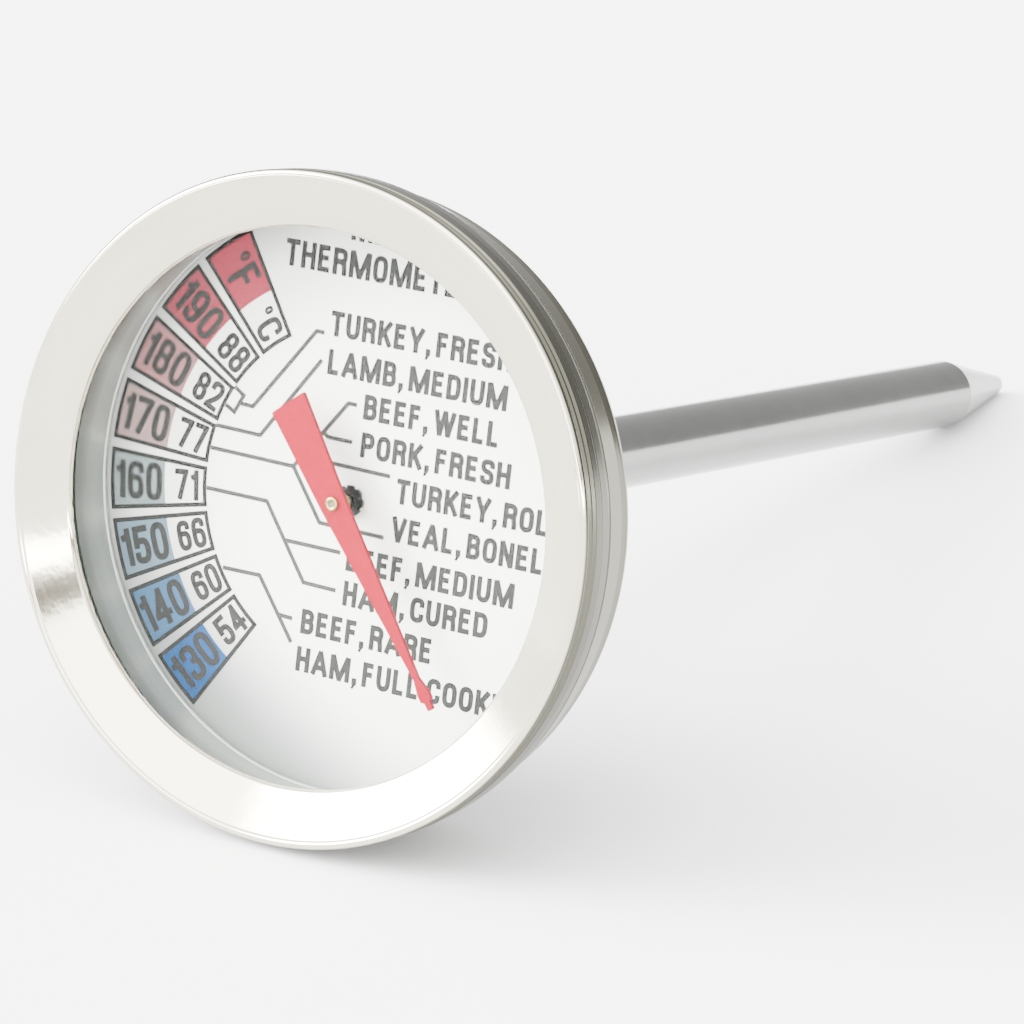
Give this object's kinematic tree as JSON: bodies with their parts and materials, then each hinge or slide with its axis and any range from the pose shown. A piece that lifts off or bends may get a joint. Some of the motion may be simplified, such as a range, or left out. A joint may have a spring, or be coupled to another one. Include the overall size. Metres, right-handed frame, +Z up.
{
  "type": "dial meat thermometer",
  "caption": "Round dial thermometer on a pointed probe stem, lying on its rim and stem, with a pointer that sweeps over a meat doneness scale.",
  "frame": {"origin": "centre of the bottom of the object's box, on the table that its rim and stem lie on", "axes": "+Z up; the stem points along +Y and dips to the table; the dial looks along -Y, tilted up, with its text level; +X is to the dial's right"},
  "size_m": [0.0508, 0.1214, 0.0497],
  "materials": {
    "bezel_steel": "satin, brushed round the dial",
    "case_steel": "drawn steel, lightly polished",
    "stem_steel": "drawn tube, fine grain along the stem",
    "lens_glass": "clear flat lens",
    "seal_rubber": "matt black",
    "reflector_metal": "satin",
    "dial_metal": "satin silver with printed scale",
    "turned_steel": "turned or stamped, plain",
    "pointer_paint": "satin red",
    "eyelet_brass": "polished",
    "shaft_steel": "ground rod",
    "bearing_brass": "turned",
    "bimetal_strip": "rolled strip"
  },
  "bodies": {
    "case": {"bezel": "bezel_steel", "lens_gasket": "seal_rubber", "lens": "lens_glass", "reflector_ring": "reflector_metal", "dial_plate": "dial_metal", "dial_lock_washer": "turned_steel", "case_back": "case_steel", "stem_head": "turned_steel", "stem_head_washer": "turned_steel", "stem_lock_nut": "turned_steel", "stem_tube": "stem_steel", "stem_tip": "stem_steel", "upper_bearing": "bearing_brass", "shaft_guide_upper": "bearing_brass", "shaft_guide_lower": "bearing_brass", "bimetal_coil": "bimetal_strip", "coil_anchor": "turned_steel"},
    "pointer_assembly": {"pointer": "pointer_paint", "pointer_hub": "eyelet_brass", "pointer_shaft": "shaft_steel", "coil_collar": "turned_steel"}
  },
  "joints": [
    {"name": "pointer_sweep", "type": "hinge", "parent": "case", "child": "pointer_assembly", "pos_m": [0, -0.05032, 0.02389], "axis": [0, 0.9789, -0.2044], "range_deg": [-66, 172], "stiffness_Nm_per_rad": 0.0002, "deforming": ["bimetal_coil"]}
  ]
}
